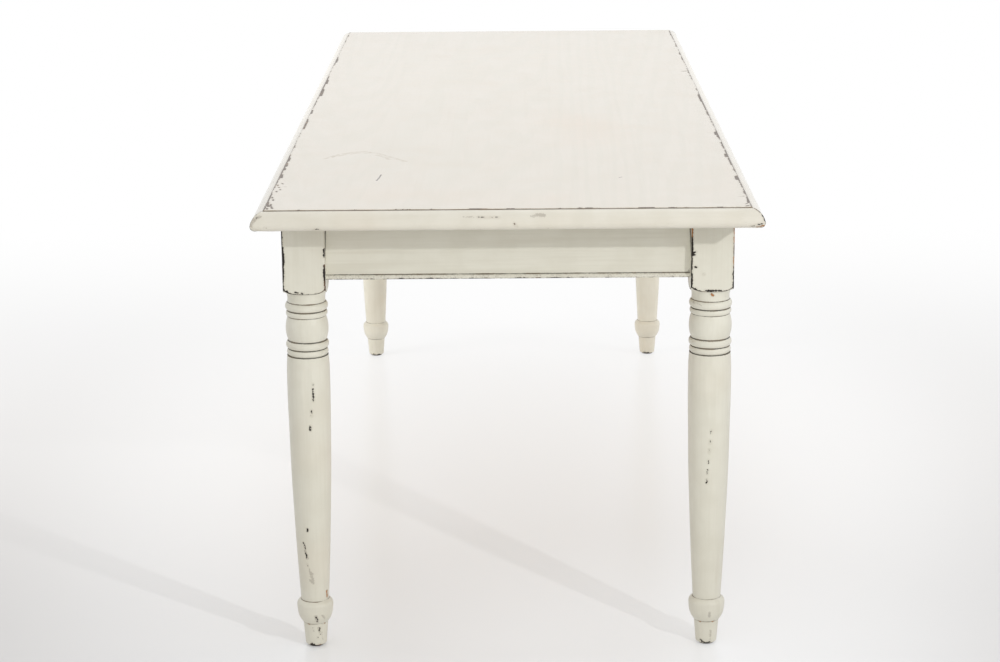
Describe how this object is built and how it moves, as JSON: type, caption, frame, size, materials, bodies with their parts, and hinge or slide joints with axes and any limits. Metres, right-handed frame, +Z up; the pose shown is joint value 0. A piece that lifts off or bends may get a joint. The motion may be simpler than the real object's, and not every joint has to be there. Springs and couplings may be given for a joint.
{
  "type": "dining table",
  "caption": "Rectangular country dining table with a mitred moulded-edge top, beaded aprons and turned legs with square blocks, in worn cream paint.",
  "frame": {"origin": "on the floor under the middle of the top", "axes": "+X along the table towards the near end, +Y across it to the right seen from that end, +Z up"},
  "size_m": [2.1, 0.8, 0.765],
  "materials": {
    "painted_wood": "satin cream paint, rubbed through to dark undercoat and bare wood along the edges",
    "bare_wood": "planed bare softwood",
    "steel": "zinc-plated steel",
    "glide_plastic": "dark nylon glide"
  },
  "bodies": {
    "root": {"top_board_1": "painted_wood", "top_board_2": "painted_wood", "top_board_3": "painted_wood", "top_board_4": "painted_wood", "top_board_5": "painted_wood", "end_moulding_near": "painted_wood", "end_moulding_far": "painted_wood", "side_moulding_right": "painted_wood", "side_moulding_left": "painted_wood", "leg_near_right": "painted_wood", "leg_far_right": "painted_wood", "leg_far_left": "painted_wood", "leg_near_left": "painted_wood", "long_apron_right": "painted_wood", "long_apron_left": "painted_wood", "end_apron_near": "painted_wood", "end_apron_far": "painted_wood", "bead_strip_right": "painted_wood", "bead_strip_left": "painted_wood", "bead_strip_near": "painted_wood", "bead_strip_far": "painted_wood", "corner_brace_near_right": "bare_wood", "corner_brace_far_right": "bare_wood", "corner_brace_far_left": "bare_wood", "corner_brace_near_left": "bare_wood", "cross_bearer_near": "bare_wood", "cross_bearer_far": "bare_wood", "top_buttons": "bare_wood", "hanger_bolts": "steel", "hanger_washers": "steel", "hanger_nuts": "steel", "brace_screws": "steel", "bearer_screws": "steel", "button_screws": "steel", "foot_glide_near_right": "glide_plastic", "foot_glide_far_right": "glide_plastic", "foot_glide_far_left": "glide_plastic", "foot_glide_near_left": "glide_plastic"}
  },
  "joints": []
}
